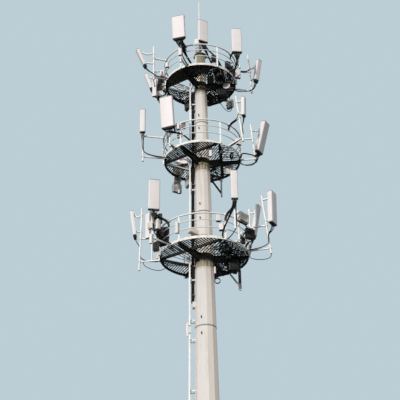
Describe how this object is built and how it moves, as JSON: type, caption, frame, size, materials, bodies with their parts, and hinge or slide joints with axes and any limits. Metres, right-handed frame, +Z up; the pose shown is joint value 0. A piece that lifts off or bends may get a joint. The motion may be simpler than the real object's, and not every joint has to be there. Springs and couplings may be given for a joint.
{
  "type": "monopole cell tower",
  "caption": "Twelve-sided steel monopole with round antenna platforms, handrails, panel antennas, radio units, ladder and lightning rod.",
  "frame": {"origin": "centre of the base flange's underside, on the pole's axis", "axes": "+Z up the pole; -Y towards the near side in the picture; the ladder is on the -X side"},
  "size_m": [5.9629, 4.5345, 32.9023],
  "materials": {
    "painted_pole": "weathered cream paint",
    "galvanised_steel": "dull hot-dip galvanising",
    "radome": "matt off-white glass-fibre",
    "radio_housing": "matt grey powder coat",
    "cable_jacket": "satin black jacket"
  },
  "bodies": {
    "root": {"base_flange": "painted_pole", "pole_section_1": "painted_pole", "pole_section_2": "painted_pole", "pole_section_3": "painted_pole", "pole_section_4": "painted_pole", "pole_section_5": "painted_pole", "jacking_lugs": "painted_pole", "pole_cap": "galvanised_steel", "lightning_rod": "galvanised_steel", "climbing_ladder": "galvanised_steel", "ladder_brackets": "galvanised_steel", "cable_port": "painted_pole", "feeder_cables": "cable_jacket", "cable_hangers": "galvanised_steel", "lower_arms": "galvanised_steel", "lower_ring_frame": "galvanised_steel", "lower_outer_grating": "galvanised_steel", "lower_inner_grating": "galvanised_steel", "lower_handrail": "galvanised_steel", "lower_mount_frames": "galvanised_steel", "lower_antennas": "radome", "lower_radio_units": "radio_housing", "lower_jumper_cables": "cable_jacket", "middle_arms": "galvanised_steel", "middle_ring_frame": "galvanised_steel", "middle_outer_grating": "galvanised_steel", "middle_inner_grating": "galvanised_steel", "middle_handrail": "galvanised_steel", "middle_mount_frames": "galvanised_steel", "middle_antennas": "radome", "middle_radio_units": "radio_housing", "middle_jumper_cables": "cable_jacket", "top_arms": "galvanised_steel", "top_ring_frame": "galvanised_steel", "top_outer_grating": "galvanised_steel", "top_inner_grating": "galvanised_steel", "top_handrail": "galvanised_steel", "top_mount_frames": "galvanised_steel", "top_antennas": "radome", "top_radio_units": "radio_housing", "top_jumper_cables": "cable_jacket", "junction_box": "painted_pole", "lower_left_cable": "cable_jacket", "lower_right_cable": "cable_jacket", "middle_right_cable": "cable_jacket", "top_cable_loop": "cable_jacket"}
  },
  "joints": []
}
